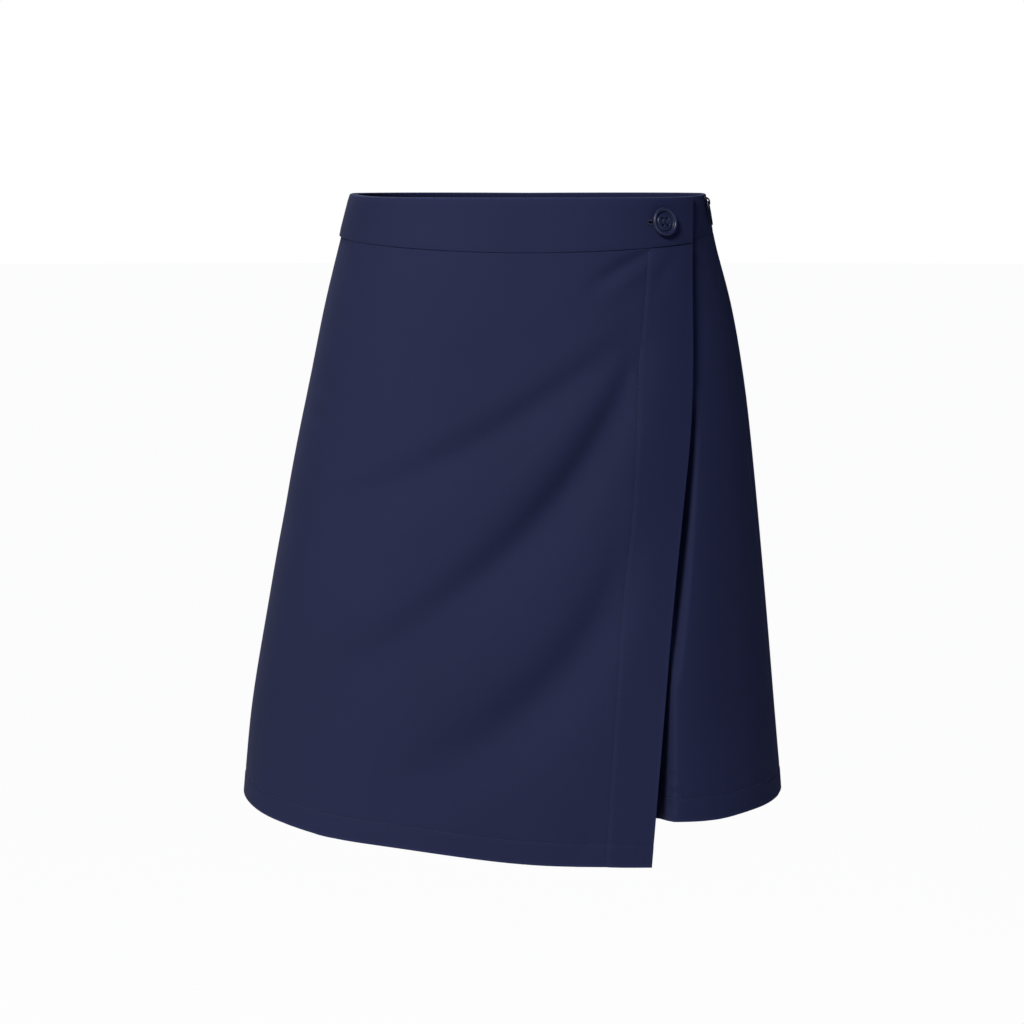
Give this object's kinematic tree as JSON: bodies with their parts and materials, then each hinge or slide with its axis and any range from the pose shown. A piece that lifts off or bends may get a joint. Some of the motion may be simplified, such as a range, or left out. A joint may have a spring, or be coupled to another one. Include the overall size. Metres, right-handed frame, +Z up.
{
  "type": "wrap-front culottes",
  "caption": "Short flared culottes with a skirt panel that wraps across the front and buttons at the left hip, and a concealed side zip; they stand hollow, as worn.",
  "frame": {"origin": "on the wearer's axis, at the middle of the waistband's height, where the wearer's waist holds the garment", "axes": "+Z up, the wearer faces -Y, and +X is the wearer's left, where the wrap buttons"},
  "size_m": [0.3449, 0.2494, 0.4134],
  "materials": {
    "cloth": "navy polyester-viscose twill, matte with a slight sheen",
    "thread": "navy sewing thread, tone on tone",
    "button": "navy polyester resin, satin",
    "zip_tape": "navy woven zip tape",
    "zip_metal": "dark lacquered metal, satin"
  },
  "bodies": {
    "garment": {"waistband_wrap": "cloth", "waistband_front": "cloth", "waistband_back": "cloth", "wrap_panel": "cloth", "wrap_facing": "cloth", "wrap_hem": "cloth", "front_left": "cloth", "front_right": "cloth", "back_left": "cloth", "back_right": "cloth", "hem_front_left": "cloth", "hem_front_right": "cloth", "hem_back_left": "cloth", "hem_back_right": "cloth", "button": "button", "button_shank": "thread", "zip_tape_front": "zip_tape", "zip_tape_back": "zip_tape", "zip_slider": "zip_metal"},
    "zip_pull": {"zip_pull": "zip_metal"}
  },
  "joints": [
    {"name": "pull_hinge", "type": "hinge", "parent": "garment", "child": "zip_pull", "pos_m": [0.11383, -0.02072, 0.01044], "axis": [-0.25, -0.9682, 0], "range_deg": [0, 175]}
  ]
}
